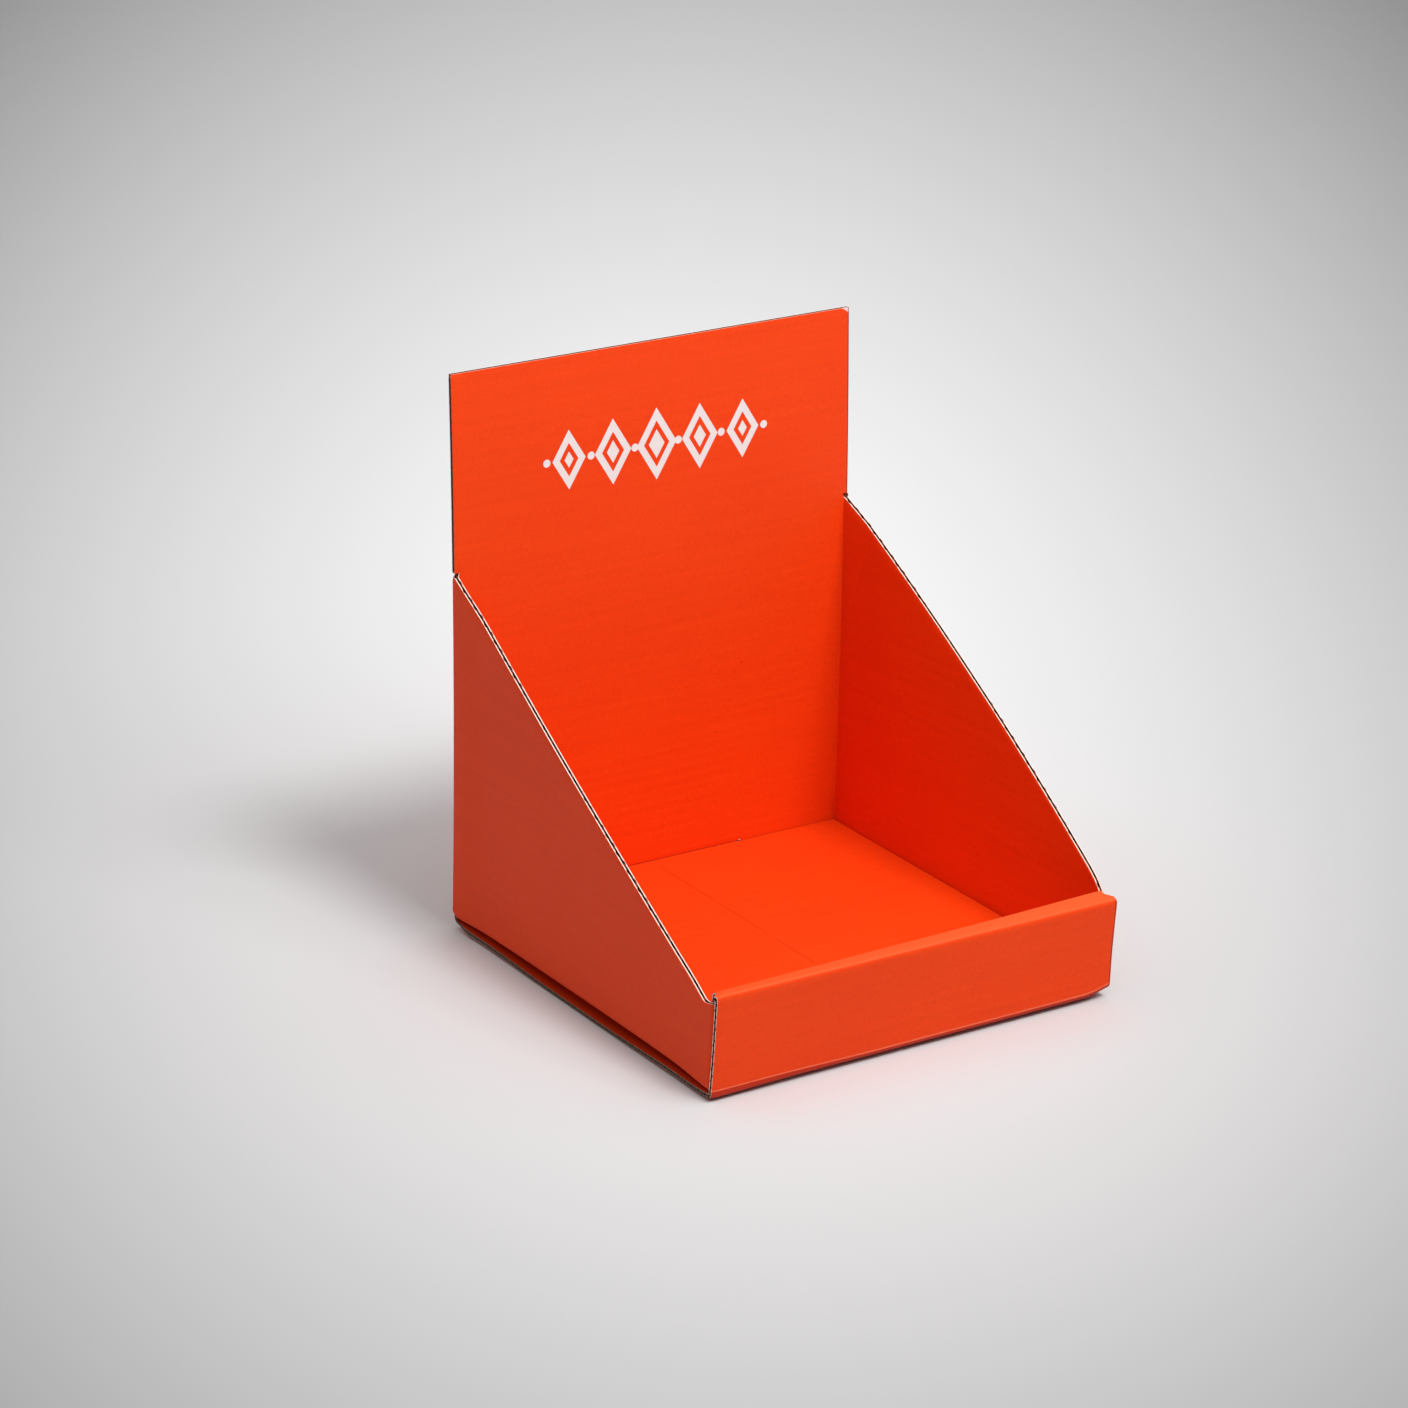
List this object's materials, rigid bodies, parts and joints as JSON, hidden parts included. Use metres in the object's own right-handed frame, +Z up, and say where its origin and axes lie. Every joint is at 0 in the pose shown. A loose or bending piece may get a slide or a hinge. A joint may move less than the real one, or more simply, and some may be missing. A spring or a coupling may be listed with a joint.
{
  "type": "cardboard display stand",
  "caption": "Counter display stand folded from one sheet of orange printed corrugated board: open tray, slanted sides, hollow front lip and tall plain header.",
  "frame": {"origin": "centre of the footprint on the table", "axes": "+Z up; the open front with the lip faces -Y, the header stands at +Y; +X is to the right seen from the front"},
  "size_m": [0.2562, 0.263, 0.314],
  "materials": {
    "orange_board": "matte printed paper liner",
    "board_edge": "cut edge of white paper liners",
    "board_core": "brown fluted paper"
  },
  "bodies": {
    "root": {"display_stand": "orange_board"}
  },
  "joints": []
}
